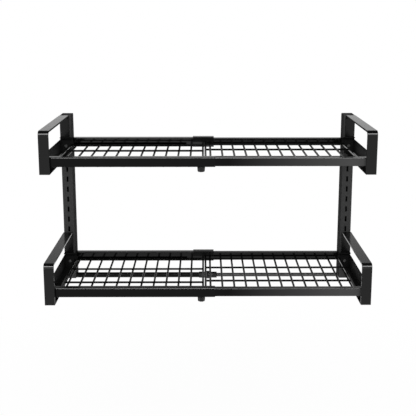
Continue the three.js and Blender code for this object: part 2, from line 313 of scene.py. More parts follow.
@dataclass(frozen=True)
class MouldedPlastic:
    """Black moulded plastic with a fine spark-eroded grain.

    Attributes:
        name: the material's name.
        dark: its darkest grey.
        light: its lightest grey.
        gloss: its least and most roughness.
        grain_mm: the size of the grain's pits.
        grain: the strength of their relief.
        grain_deep: their depth.
        grain_soft: how far neighbouring pits run together.
        cloud_mm: the size of the paler patches.
        cloud_tint: the patches' part in the grey.
        grain_tint: the pits' part in the grey.
        index: the plastic's index of refraction.
    """

    name: str
    dark: float = 0.003
    light: float = 0.006
    gloss: tuple[float, float] = (0.2, 0.28)
    grain_mm: float = 0.5
    grain: float = 0.12
    grain_deep: float = 0.1 * MM
    grain_soft: float = 0.6
    cloud_mm: float = 9.0
    cloud_tint: float = 0.5
    grain_tint: float = 0.4
    index: float = 1.38

    def material(self) -> bpy.types.Material:
        """Builds the material.

        Returns:
            A material that reads Object coordinates.
        """
        made = bpy.data.materials.new(self.name)
        made.use_nodes = True
        graph = Graph(made.node_tree)
        place = graph.node("ShaderNodeTexCoord").outputs["Object"]
        pits = graph.value(graph.node("ShaderNodeTexVoronoi", {"feature": "SMOOTH_F1"}, {
            "Vector": place, "Scale": 1.0 / (self.grain_mm * MM), "Smoothness": self.grain_soft,
        }))
        cloud = graph.value(graph.node("ShaderNodeTexNoise", None, {
            "Vector": place, "Scale": 1.0 / (self.cloud_mm * MM), "Detail": 2.0,
        }))
        colour = graph.node("ShaderNodeMix", {"data_type": "RGBA"}, {
            "Factor": (self.cloud_tint * cloud + self.grain_tint * pits).at_most(1.0),
            6: grey(self.dark), 7: grey(self.light),
        })
        low, high = self.gloss
        bump = graph.node("ShaderNodeBump", None, {
            "Strength": self.grain, "Distance": self.grain_deep, "Height": pits,
        })
        shader = graph.node("ShaderNodeBsdfPrincipled", None, {
            "Base Color": colour.outputs[2], "Roughness": low + (high - low) * cloud,
            "Normal": bump.outputs[0], "IOR": self.index,
        })
        graph.node("ShaderNodeOutputMaterial", None, {"Surface": shader.outputs[0]})
        return made


@dataclass(frozen=True)
class Finishes:
    """Every finish of the rack, built once."""

    frames: bpy.types.Material
    trough: bpy.types.Material
    outer: bpy.types.Material
    inner: bpy.types.Material
    rear: bpy.types.Material
    rear_low: bpy.types.Material
    posts: bpy.types.Material
    wire: bpy.types.Material
    rod: bpy.types.Material
    screw: bpy.types.Material
    plastic: bpy.types.Material
    post_sides: bpy.types.Material
    bend: bpy.types.Material
    cut: bpy.types.Material
    front_edge: bpy.types.Material
    rear_edge: bpy.types.Material

    @classmethod
    def build(cls) -> "Finishes":
        """Builds the materials.

        Returns:
            The finishes, by what they cover.
        """
        return cls(
            frames=PowderCoat("frame_coat", index=1.31).material(),
            trough=PowderCoat("trough_coat", 0.01, 0.014, (0.5, 0.6), index=1.08).material(),
            outer=PowderCoat("outer_rail_coat", 0.003, 0.005, index=1.18).material(),
            # The inner front rails carry a painted light ramp along X: painted shade near the outer rail's
            # mouth, lighter further out.
            inner=PowderCoat("inner_rail_painted_ramp_coat", 0.001, 0.066, index=1.2,
                             painted_ramp=(40 * MM, 275 * MM)).material(),
            rear=PowderCoat("rear_rail_coat", 0.002, 0.004, (0.05, 0.09), index=1.41).material(),
            # The lower tier's rear rails: a less reflective copy of the rear rail coat, painted shade.
            rear_low=PowderCoat("lower_rear_painted_shade", 0.002, 0.004, (0.05, 0.09), index=1.3).material(),
            posts=PowderCoat("post_coat", 0.053, 0.064, (0.5, 0.62), 1.4, 0.09, index=1.05).material(),
            wire=PowderCoat("wire_coat", 0.003, 0.005, (0.22, 0.3), 0.8, 0.04, 20.0, 1.12).material(),
            rod=PowderCoat("rod_coat", 0.03, 0.04, (0.14, 0.2), index=1.5).material(),
            screw=PowderCoat("screw_coat", 0.07, 0.1, (0.25, 0.35), 0.6, 0.05, 6.0, 1.5).material(),
            plastic=MouldedPlastic("knob_plastic").material(),
            # Post sides: a darker copy of the post coat, painted shade on the faces that look across the
            # rack.
            post_sides=PowderCoat("post_side_painted_shade", 0.014, 0.02, (0.5, 0.62), 1.4, 0.09,
                                  index=1.04).material(),
            # Bends: a darker, glossier, more reflective copy of the frame coat, painted shade with a painted
            # highlight line.
            bend=PowderCoat("bend_painted_shade_highlight", 0.002, 0.004, (0.08, 0.12), index=1.65).material(),
            # Cut edges of the upper tier only: a duller, darker copy of the frame coat, painted shade.
            cut=PowderCoat("cut_edge_painted_shade", 0.003, 0.005, (0.5, 0.6), index=1.06).material(),
            # Forward-facing rail corners: far more reflective copies of the rail coat, painted highlight
            # lines.
            front_edge=PowderCoat("front_edge_coat", 0.003, 0.005, (0.1, 0.15), index=2.0).material(),
            rear_edge=PowderCoat("rear_edge_coat", 0.003, 0.005, (0.1, 0.15), index=1.8).material(),
        )


# Meshes


def fillet(corners: Sequence[tuple[float, float, float]], steps: int) -> Loop:
    """Rounds the corners of an open path.

    Args:
        corners: (u, v, radius) at each corner; the two ends have radius 0.
        steps: straight pieces in each rounded corner.

    Returns:
        The points of the rounded path.
    """
    points = [Vector(c[:2]) for c in corners]
    out: Loop = []
    for i, (u, v, radius) in enumerate(corners):
        if radius <= 0:
            out.append((u, v))
            continue
        here = points[i]
        back = (points[i - 1] - here).normalized()
        on = (points[(i + 1) % len(points)] - here).normalized()
        half = back.angle(on) / 2
        centre = here + (back + on).normalized() * (radius / math.sin(half))
        first = here + back * (radius / math.tan(half)) - centre
        sweep = math.pi - 2 * half
        turn = math.copysign(1.0, back.x * on.y - back.y * on.x)
        for k in range(steps + 1):
            angle = -turn * sweep * k / steps
            c, s = math.cos(angle), math.sin(angle)
            out.append((centre.x + c * first.x - s * first.y, centre.y + s * first.x + c * first.y))
    return out


def sheet_outline(path: Loop, thick: float) -> Loop:
    """The outline of a sheet of even thickness that is folded along a path.

    Args:
        path: points along the sheet's middle.
        thick: the sheet's thickness.

    Returns:
        A closed outline, one side and then the other.
    """
    one: Loop = []
    other: Loop = []
    for i, (u, v) in enumerate(path):
        before = Vector(path[max(i - 1, 0)])
        after = Vector(path[min(i + 1, len(path) - 1)])
        here = Vector((u, v))
        legs = [leg.normalized() for leg in (here - before, after - here) if leg.length > 0]
        ahead = sum(legs, Vector((0.0, 0.0))).normalized()
        reach = thick / 2 / max(ahead.dot(legs[0]), LEAST_MITRE)
        normal = Vector((-ahead.y, ahead.x)) * reach
        one.append((u + normal.x, v + normal.y))
        other.append((u - normal.x, v - normal.y))
    return one + other[::-1]


def round_box(low: Point2, high: Point2, radius: float, steps: int) -> Loop:
    """A rectangle with round corners.

    Args:
        low: its lowest corner.
        high: its highest corner.
        radius: the corners' radius.
        steps: straight pieces in each corner.

    Returns:
        A closed loop of points.
    """
    corners = [(low[0], low[1]), (high[0], low[1]), (high[0], high[1]), (low[0], high[1])]
    return fillet([(u, v, radius) for u, v in corners], steps)


def circle(radius: float, sides: int, centre: Point2 = (0.0, 0.0)) -> Loop:
    """A round loop of points about a centre."""
    turn = 2 * math.pi / sides
    return [(centre[0] + radius * math.cos(i * turn), centre[1] + radius * math.sin(i * turn))
            for i in range(sides)]


def add_prism(bm: bmesh.types.BMesh, outline: Loop, axis: Axis, span: Point2) -> None:
    """Adds a closed prism to a mesh.

    Args:
        bm: the mesh to add to.
        outline: its profile.
        axis: the axis that the profile runs along.
        span: where it starts and ends on that axis.
    """
    ends = [[bm.verts.new(axis.place(u, v, at)) for u, v in outline] for at in span]
    bm.faces.new(ends[0])
    bm.faces.new(ends[1][::-1])
    for i in range(len(outline)):
        j = (i + 1) % len(outline)
        bm.faces.new((ends[0][i], ends[1][i], ends[1][j], ends[0][j]))


def add_tube(bm: bmesh.types.BMesh, outer: Loop, inner: Loop, axis: Axis, span: Point2) -> None:
    """Adds a tube whose two loops have the same number of points.

    Args:
        bm: the mesh to add to.
        outer: its outer profile.
        inner: its bore.
        axis: the axis that it runs along.
        span: where it starts and ends on that axis.
    """
    rings = [[bm.verts.new(axis.place(u, v, at)) for u, v in loop]
             for loop, at in ((outer, span[0]), (outer, span[1]), (inner, span[1]), (inner, span[0]))]
    for k in range(4):
        here, there = rings[k], rings[(k + 1) % 4]
        for i in range(len(outer)):
            j = (i + 1) % len(outer)
            bm.faces.new((here[i], there[i], there[j], here[j]))


def add_block(bm: bmesh.types.BMesh, low: Vector, high: Vector) -> None:
    """Adds a rectangular block between two corners."""
    add_prism(bm, [(low.x, low.y), (high.x, low.y), (high.x, high.y), (low.x, high.y)],
              Axis.Z, (low.z, high.z))


def add_turned(bm: bmesh.types.BMesh, profile: Sequence[Point2], place: Turning, sides: int,
               closed: bool) -> None:
    """Adds a turned shape.

    Args:
        bm: the mesh to add to.
        profile: (radius, height) points; a radius of 0 is a pole.
        place: the point in space for a radius, a height and an angle.
        sides: steps round the axis.
        closed: whether the profile closes on itself.
    """
    turn = 2 * math.pi / sides
    rings = []
    for radius, height in profile:
        count = 1 if radius == 0 else sides
        rings.append([bm.verts.new(place(radius, height, i * turn)) for i in range(count)])
    pairs = list(zip(rings, rings[1:])) + ([(rings[-1], rings[0])] if closed else [])
    for here, there in pairs:
        for i in range(sides):
            j = (i + 1) % sides
            corners = [here[i % len(here)], there[i % len(there)],
                       there[j % len(there)], here[j % len(here)]]
            bm.faces.new(list(dict.fromkeys(corners)))


def baked(obj: bpy.types.Object) -> bpy.types.Object:
    """Turns an object's modifiers into a plain mesh.

    Args:
        obj: the object with modifiers.

    Returns:
        The same object, with its result as its mesh and no modifiers.
    """
    depsgraph = bpy.context.evaluated_depsgraph_get()
    mesh = bpy.data.meshes.new_from_object(obj.evaluated_get(depsgraph), depsgraph=depsgraph)
    old = obj.data
    obj.modifiers.clear()
    obj.data = mesh
    mesh.name = obj.name
    bpy.data.meshes.remove(old)
    return obj


def node_box(node: str) -> tuple[Vector, Vector]:
    """The lowest and highest corners of a CAD node at rest."""
    low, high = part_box(node)
    return Vector(low), Vector(high)


def link_mesh(name: str, mesh: bpy.types.Mesh) -> bpy.types.Object:
    """Puts a mesh into the scene.

    Args:
        name: the new object's name.
        mesh: its mesh.

    Returns:
        The object, at the origin.
    """
    obj = bpy.data.objects.new(name, mesh)
    bpy.context.scene.collection.objects.link(obj)
    return obj


def finished(name: str, bm: bmesh.types.BMesh, ease: float = 0.0, segments: int = 2,
             smooth_deg: float = 32.0) -> bpy.types.Object:
    """Closes a mesh, eases its sharp edges and puts it into the scene.

    Args:
        name: the piece's name.
        bm: its mesh, which is freed.
        ease: width of the eased edges, 0 for none.
        segments: steps across an eased edge.
        smooth_deg: edges sharper than this are eased, or stay sharp in the shading.

    Returns:
        The piece, as a plain mesh at the origin.
    """
    bmesh.ops.recalc_face_normals(bm, faces=bm.faces)
    mesh = bpy.data.meshes.new(name)
    bm.to_mesh(mesh)
    bm.free()
    obj = link_mesh(name, mesh)
    mesh.shade_smooth()
    if ease:
        bevel = obj.modifiers.new("ease", "BEVEL")
        bevel.width = ease
        bevel.segments = segments
        bevel.limit_method = "ANGLE"
        bevel.angle_limit = math.radians(smooth_deg)
        bevel.use_clamp_overlap = True
        obj.modifiers.new("even", "WEIGHTED_NORMAL")
        return baked(obj)
    mesh.set_sharp_from_angle(angle=math.radians(smooth_deg))
    return obj


def dress(obj: bpy.types.Object, material: bpy.types.Material, body: str, slot: Slot, *nodes: str) -> None:
    """Gives a piece its finish, puts it on its body and lets it stand for CAD nodes.

    Args:
        obj: the piece.
        material: its finish.
        body: the moving body that carries it.
        slot: the record's material slot; not used.
        nodes: the nodes that it stands for.
    """
    obj.data.materials.clear()
    obj.data.materials.append(material)
    for polygon in obj.data.polygons:
        polygon.material_index = 0
    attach(obj, body)
    if nodes:
        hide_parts(*nodes)
    LOG.info("%s rides on %s, %d faces", obj.name, body, len(obj.data.polygons))


def recoat(obj: bpy.types.Object, material: bpy.types.Material, wanted: Callable[[Vector], bool]) -> None:
    """Gives some faces of a dressed piece another finish.

    Args:
        obj: the piece.
        material: the other finish.
        wanted: whether a face with this normal gets it.
    """
    index = len(obj.data.materials)
    obj.data.materials.append(material)
    for polygon in obj.data.polygons:
        if wanted(polygon.normal):
            polygon.material_index = index


# Sub-assemblies


@dataclass
class SlottedPosts:
    """The two uprights: folded tubes with a row of slots."""

    corner: float = 1.8 * MM
    corner_steps: int = 5
    ease: float = 0.15 * MM
    shaded_side_normal: float = 0.75
    merge: float = 0.001 * MM
    flat_rad: float = 0.01
    near: float = 0.01 * MM

    def build(self, finishes: Finishes) -> None:
        """Makes both posts from their solids, with round corners and eased slots, and painted shade on their
        side faces.

        Args:
            finishes: the rack's finishes.
        """
        for hand in Hand:
            node = f"post_{hand.value}"
            piece = self.post(node)
            dress(piece, finishes.posts, hand.value, Slot.COAT, node)
            # The side faces get a darker copy of the post coat: painted shade on the sides that face across
            # the rack.
            recoat(piece, finishes.post_sides, lambda normal: abs(normal.x) > self.shaded_side_normal)

    def post(self, node: str) -> bpy.types.Object:
        """One post.

        Args:
            node: the post's CAD node.

        Returns:
            The finished piece.
        """
        low, high = node_box(node)
        bm = bmesh.new()
        bm.from_mesh(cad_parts[node].data)
        bmesh.ops.remove_doubles(bm, verts=bm.verts, dist=self.merge)
        bmesh.ops.dissolve_limit(bm, angle_limit=self.flat_rad, verts=bm.verts, edges=bm.edges)
        long_edges = [e for e in bm.edges if self._is_outer_corner(e, low, high)]
        bmesh.ops.bevel(bm, geom=long_edges, offset=self.corner, segments=self.corner_steps,
                        profile=0.5, affect="EDGES")
        return finished(f"{node}_tube", bm, self.ease)

    def _is_outer_corner(self, edge: bmesh.types.BMEdge, low: Vector, high: Vector) -> bool:
        """Whether an edge is one of the tube's four outer corners.

        Args:
            edge: the edge.
            low: the post's lowest corner.
            high: the post's highest corner.

        Returns:
            True where both its ends lie on an outer side in X and in Y.
        """
        on_x = all(min(abs(v.co.x - low.x), abs(v.co.x - high.x)) < self.near for v in edge.verts)
        on_y = all(min(abs(v.co.y - low.y), abs(v.co.y - high.y)) < self.near for v in edge.verts)
        return on_x and on_y


@dataclass
class EndFrames:
    """The four bent band frames, with their hooks."""

    thick: float = 3.6 * MM
    radius: float = 9.0 * MM
    bend_steps: int = 14
    ease: float = 0.55 * MM
    ease_steps: int = 3
    hook_back: float = 4.6 * MM
    hook_x: float = 308.0 * MM
    hook_half: float = 1.5 * MM
    hook_seats: tuple[float, ...] = (4.0 * MM, 49.2 * MM)
    hook_tall: float = 7.0 * MM
    hook_lip: float = 3.0 * MM
    hook_thick: float = 2.0 * MM
    bend_lit_normal: float = 0.1
    cut_shade_normal: float = 0.8

    def build(self, finishes: Finishes) -> None:
        """Makes the frames and stands them for their nodes, with painted shade and a painted highlight on the
        bends and painted shade on the upper tier's cut edges.

        Args:
            finishes: the rack's finishes.
        """
        for tier in Tier:
            for hand in Hand:
                node = tier.node(f"end_frame_{hand.value}")
                piece = self.band(node, hand)
                dress(piece, finishes.frames, tier.body(hand), Slot.COAT, node)
                # The faces of the front-top bends get a darker, more reflective copy: painted shade with a
                # painted highlight line.
                recoat(piece, finishes.bend, lambda normal: min(-normal.y, normal.z) > self.bend_lit_normal)
                # On the upper tier only, the cut edges get a duller, darker copy: painted shade.
                if tier is Tier.UPPER:
                    recoat(piece, finishes.cut, lambda normal: abs(normal.x) > self.cut_shade_normal)

    def band(self, node: str, hand: Hand) -> bpy.types.Object:
        """One frame.

        Args:
            node: the frame's CAD node.
            hand: which end of the rack it stands at.

        Returns:
            The finished piece.
        """
        low, high = node_box(node)
        back = high.y - self.hook_back
        half = self.thick / 2
        middle = self.radius - half
        path = fillet([
            (low.y + half, low.z, 0.0), (low.y + half, high.z - half, middle),
            (back - half, high.z - half, middle), (back - half, low.z, 0.0),
        ], self.bend_steps)
        bm = bmesh.new()
        add_prism(bm, sheet_outline(path, self.thick), Axis.X, (low.x, high.x))
        for seat in self.hook_seats:
            self.add_hook(bm, hand.side * self.hook_x, back, high.y, low.z + seat)
        return finished(f"{node}_band", bm, self.ease, self.ease_steps)

    def add_hook(self, bm: bmesh.types.BMesh, x: float, back: float, tip: float, seat: float) -> None:
        """Adds one hook: an arm through the post's slot, and a lip down behind the post's wall.

        Args:
            bm: the mesh to add to.
            x: the hook's middle across the rack.
            back: the band's back.
            tip: the hook's far end.
            seat: the height of the arm's lower side.
        """
        half = self.hook_half
        arm = [(back - self.thick / 2, seat), (tip - self.hook_thick, seat),
               (tip - self.hook_thick, seat - self.hook_lip), (tip, seat - self.hook_lip),
               (tip, seat + self.hook_tall), (back - self.thick / 2, seat + self.hook_tall)]
        add_prism(bm, arm, Axis.X, (x - half, x + half))


@dataclass
class FoldedParts:
    """Side channels, tray end bars and rear sleeves, of thin sheet and flat stock."""

    channel: float = 1.5 * MM
    channel_floor: float = 20.0 * MM
    channel_high: float = 31.0 * MM
    rim: float = 9.5 * MM
    step_gap: float = 0.3 * MM
    step_in: float = 5.3 * MM
    neck: float = 2.0 * MM
    sleeve: float = 1.2 * MM
    fold: float = 1.6 * MM
    fold_steps: int = 6
    ease: float = 0.3 * MM
    notch: float = 38.5 * MM
    lip_drop: float = 10.7 * MM
    floor_in: float = 2.7 * MM

    def build(self, finishes: Finishes) -> None:
        """Makes every folded part and stands it for its node.

        Args:
            finishes: the rack's finishes.
        """
        for tier in Tier:
            for hand in Hand:
                body = tier.body(hand)
                channel = tier.node(f"side_channel_{hand.value}")
                bar = tier.node(f"end_bar_{hand.value}")
                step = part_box(bar)[1][2] + self.step_gap
                fold = self.side_channel(channel, hand, step)
                dress(fold, finishes.trough, body, Slot.COAT, channel)
                dress(self.end_bar(bar, hand), finishes.outer, body, Slot.COAT, bar)
            sleeve = tier.node("rear_sleeve")
            dress(self.rear_sleeve(sleeve), finishes.outer, tier.body(Hand.LEFT), Slot.COAT, sleeve)

    def side_channel(self, node: str, hand: Hand, step: float) -> bpy.types.Object:
        """One channel below a handle window: a floor, an outer wall and a rimmed wall at the rear.

        Args:
            node: its CAD node.
            hand: which end of the rack it lies at.
            step: the height at which the rear wall steps in over the end bar.

        Returns:
            The finished piece.
        """
        low, high = node_box(node)
        out, inn = (low.x, high.x) if hand is Hand.LEFT else (high.x, low.x)
        half = self.channel / 2
        wall = out - hand.side * half
        edge = out - hand.side * self.channel_floor
        path = fillet([(edge, low.z + half, 0.0), (wall, low.z + half, self.fold),
                       (wall, low.z + self.channel_high, 0.0)], self.fold_steps)
        bm = bmesh.new()
        add_prism(bm, sheet_outline(path, self.channel), Axis.Y, (low.y, high.y - self.channel))
        rear = fillet([(high.y - self.rim, high.z - half, 0.0), (high.y - half, high.z - half, self.fold),
                       (high.y - half, step, 0.0)], self.fold_steps)
        add_prism(bm, sheet_outline(rear, self.channel), Axis.X, tuple(sorted((inn, out))))
        foot = sorted((inn + hand.side * self.step_in, out))
        add_block(bm, Vector((foot[0], high.y - self.channel, low.z)),
                  Vector((foot[1], high.y, step)))
        return finished(f"{node}_fold", bm, self.ease)

    def end_bar(self, node: str, hand: Hand) -> bpy.types.Object:
        """One tray end: a flat bar, narrowed where it passes the post.

        Args:
            node: its CAD node.
            hand: which end of the rack it lies at.

        Returns:
            The finished piece.
        """
        low, high = node_box(node)
        out, inn = (low.x, high.x) if hand is Hand.LEFT else (high.x, low.x)
        past = inn + hand.side * self.neck
        outline = [(inn, low.y), (out, low.y), (out, -self.notch), (past, -self.notch),
                   (past, high.y), (inn, high.y)]
        bm = bmesh.new()
        add_prism(bm, outline, Axis.Z, (low.z, high.z))
        return finished(f"{node}_flat", bm, self.ease)

    def rear_sleeve(self, node: str) -> bpy.types.Object:
        """One sleeve round the mouth of an outer rear rail.

        Args:
            node: its CAD node.

        Returns:
            The finished piece.
        """
        low, high = node_box(node)
        half = self.sleeve / 2
        path = fillet([
            (low.y + self.floor_in, low.z + half, 0.0), (high.y - half, low.z + half, self.fold),
            (high.y - half, high.z - half, self.fold), (low.y + half, high.z - half, self.fold),
            (low.y + half, high.z - self.lip_drop, 0.0),
        ], self.fold_steps)
        bm = bmesh.new()
        add_prism(bm, sheet_outline(path, self.sleeve), Axis.X, (low.x, high.x))
        return finished(f"{node}_wrap", bm, self.ease)


@dataclass
class TrayScrews:
    """The button-head screws through the side channels' rear walls, one at each end of each tier."""

    across: float = 308.0 * MM
    up: float = 16.3 * MM
    wall: float = 1.5 * MM
    sunk: float = 0.2 * MM
    head_r: float = 3.3 * MM
    head_high: float = 1.9 * MM
    crown_r: float = 1.9 * MM
    socket_r: float = 1.45 * MM
    socket_deep: float = 1.1 * MM
    rim_share: float = 0.15
    crown_parts: tuple[float, ...] = (0.3, 0.6, 0.85, 1.0)
    sides: int = 48

    def build(self, finishes: Finishes) -> None:
        """Makes the four screws and puts them on their bodies.

        Args:
            finishes: the rack's finishes.
        """
        for tier in Tier:
            for hand in Hand:
                screw = self.screw(tier, hand)
                dress(screw, finishes.screw, tier.body(hand), Slot.COAT)

    def screw(self, tier: Tier, hand: Hand) -> bpy.types.Object:
        """One screw head with a hexagon socket, facing the front.

        Args:
            tier: the shelf that it is on.
            hand: which end of the shelf.

        Returns:
            The finished piece.
        """
        low, high = node_box(tier.node(f"side_channel_{hand.value}"))
        face = high.y - self.wall
        middle = Vector((hand.side * self.across, face, low.z + self.up))
        top = self.head_high
        rim = self.rim_share * top
        profile = [(0.0, -self.sunk), (self.head_r, -self.sunk), (self.head_r, rim)]
        for part in self.crown_parts:
            angle = part * math.pi / 2
            radius = self.crown_r + (self.head_r - self.crown_r) * math.cos(angle)
            profile.append((radius, rim + (top - rim) * math.sin(angle)))
        bottom = top - self.socket_deep
        profile += [(self.socket_r, top), (self.socket_r, bottom), (0.0, bottom)]

        def place(radius: float, height: float, angle: float) -> Vector:
            """The point in space, with the socket's radius drawn in to a hexagon.

            Args:
                radius: the profile's radius.
                height: the profile's height along the axis.
                angle: the turn about the axis.

            Returns:
                The vertex's place.
            """
            sixth = math.pi / 3
            flat = math.cos(sixth / 2) / math.cos(angle % sixth - sixth / 2)
            held = radius * flat if 0 < radius <= self.socket_r else radius
            return middle + Vector((held * math.cos(angle), -height, held * math.sin(angle)))

        bm = bmesh.new()
        add_turned(bm, profile, place, self.sides, closed=False)
        return finished(tier.node(f"channel_screw_{hand.value}"), bm, smooth_deg=TURNED_DEG)


@dataclass
class TelescopeRails:
    """Outer rails, slotted towards the deck, and the inner rails that slide in them."""

    outer_wall: float = 1.0 * MM
    inner_wall: float = 1.2 * MM
    outer_corner: float = 1.6 * MM
    inner_corner: float = 1.5 * MM
    corner_steps: int = 6
    slot_low: float = 3.8 * MM
    slot_high: float = 8.8 * MM
    ease: float = 0.22 * MM
    highlight_normal: float = 0.2

    def build(self, finishes: Finishes) -> None:
        """Makes the eight rails and stands them for their nodes.

        Args:
            finishes: the rack's finishes.
        """
        for tier in Tier:
            # The lower tier's rear rails get a less reflective copy of the rear coat: painted shade.
            rear = finishes.rear if tier is Tier.UPPER else finishes.rear_low
            for row in Row:
                front = row is Row.FRONT
                outer = tier.node(f"{row.value}_rail_outer")
                tube = self.outer_rail(outer, row)
                dress(tube, finishes.outer if front else rear, tier.body(Hand.LEFT), Slot.COAT, outer)
                # Painted highlight: a far more reflective copy of the coat on the corner that faces forwards,
                # here and on the inner rail below.
                self.paint_edge_highlight(tube, finishes, front)
                inner = tier.node(f"{row.value}_rail_inner")
                tube = self.inner_rail(inner)
                dress(tube, finishes.inner if front else rear, tier.body(Hand.RIGHT), Slot.COAT, inner)
                self.paint_edge_highlight(tube, finishes, front)

    def paint_edge_highlight(self, tube: bpy.types.Object, finishes: Finishes, front: bool) -> None:
        """Gives the corner that faces forwards a far more reflective copy of the coat, a painted highlight:
        the upper one of a front rail, the lower of a rear one.

        Args:
            tube: the rail.
            finishes: the rack's finishes.
            front: whether it is a front rail.
        """
        up = 1 if front else -1
        recoat(tube, finishes.front_edge if front else finishes.rear_edge,
               lambda normal: min(-normal.y, up * normal.z) > self.highlight_normal)

    def outer_rail(self, node: str, row: Row) -> bpy.types.Object:
        """One outer rail: a rolled tube with a slot along its deck side.

        Args:
            node: its CAD node.
            row: front or rear, which says where the deck is.

        Returns:
            The finished piece.
        """
        low, high = node_box(node)
        half = self.outer_wall / 2
        face, back = high.y - half, low.y + half
        if row is Row.REAR:
            face, back = back, face
        top, floor = high.z - half, low.z + half
        path = fillet([
            (face, low.z + self.slot_low, 0.0), (face, floor, self.outer_corner),
            (back, floor, self.outer_corner), (back, top, self.outer_corner),
            (face, top, self.outer_corner), (face, low.z + self.slot_high, 0.0),
        ], self.corner_steps)
        bm = bmesh.new()
        add_prism(bm, sheet_outline(path, self.outer_wall), Axis.X, (low.x, high.x))
        return finished(f"{node}_tube", bm, self.ease)

    def inner_rail(self, node: str) -> bpy.types.Object:
        """One inner rail: a closed rectangular tube with round corners.

        Args:
            node: its CAD node.

        Returns:
            The finished piece.
        """
        low, high = node_box(node)
        wall = self.inner_wall
        outer = round_box((low.y, low.z), (high.y, high.z), self.inner_corner, self.corner_steps)
        bore = round_box((low.y + wall, low.z + wall), (high.y - wall, high.z - wall),
                         self.inner_corner - wall / 2, self.corner_steps)
        bm = bmesh.new()
        add_tube(bm, outer, bore, Axis.X, (low.x, high.x))
        return finished(f"{node}_tube", bm, self.ease)


class WireRowTree:
    """A Geometry Nodes tree that lays a row of equal straight wires."""

    def __init__(self, sides: int) -> None:
        """Builds the tree with its named inputs.

        Args:
            sides: steps round a wire.
        """
        self.tree = bpy.data.node_groups.new("wire_row", "GeometryNodeTree")
        self.keys: dict[str, str] = {}
        face = self.tree.interface
        face.new_socket("Geometry", in_out="OUTPUT", socket_type="NodeSocketGeometry")
        for name, kind in (("Count", "Int"), ("Start", "Vector"), ("Step", "Vector"), ("Run", "Vector"),
                           ("Radius", "Float"), ("Finish", "Material")):
            made = face.new_socket(name, in_out="INPUT", socket_type=f"NodeSocket{kind}")
            self.keys[name] = made.identifier
        graph = Graph(self.tree)
        given = graph.node("NodeGroupInput").outputs
        row = graph.node("GeometryNodeMeshLine", {"mode": "OFFSET"}, {
            "Count": given["Count"], "Start Location": given["Start"], "Offset": given["Step"],
        })
        line = graph.node("GeometryNodeCurvePrimitiveLine", None, {
            "Start": (0.0, 0.0, 0.0), "End": given["Run"],
        })
        ring = graph.node("GeometryNodeCurvePrimitiveCircle", None, {
            "Resolution": sides, "Radius": given["Radius"],
        })
        wire = graph.node("GeometryNodeCurveToMesh", None, {
            "Curve": line.outputs[0], "Profile Curve": ring.outputs[0], "Fill Caps": True,
        })
        laid = graph.node("GeometryNodeInstanceOnPoints", None, {
            "Points": row.outputs[0], "Instance": wire.outputs[0],
        })
        plain = graph.node("GeometryNodeRealizeInstances", None, {0: laid.outputs[0]})
        coated = graph.node("GeometryNodeSetMaterial", None, {
            "Geometry": plain.outputs[0], "Material": given["Finish"],
        })
        graph.node("NodeGroupOutput", None, {"Geometry": coated.outputs[0]})

    def lay(self, name: str, **inputs: Any) -> bpy.types.Object:
        """Makes one row as a plain mesh.

        Args:
            name: the new object's name.
            inputs: the tree's named inputs.

        Returns:
            The row, as a plain mesh at the origin.
        """
        obj = link_mesh(name, bpy.data.meshes.new(name))
        modifier = obj.modifiers.new("row", "NODES")
        modifier.node_group = self.tree
        for key, given in inputs.items():
            modifier[self.keys[key]] = given
        return baked(obj)


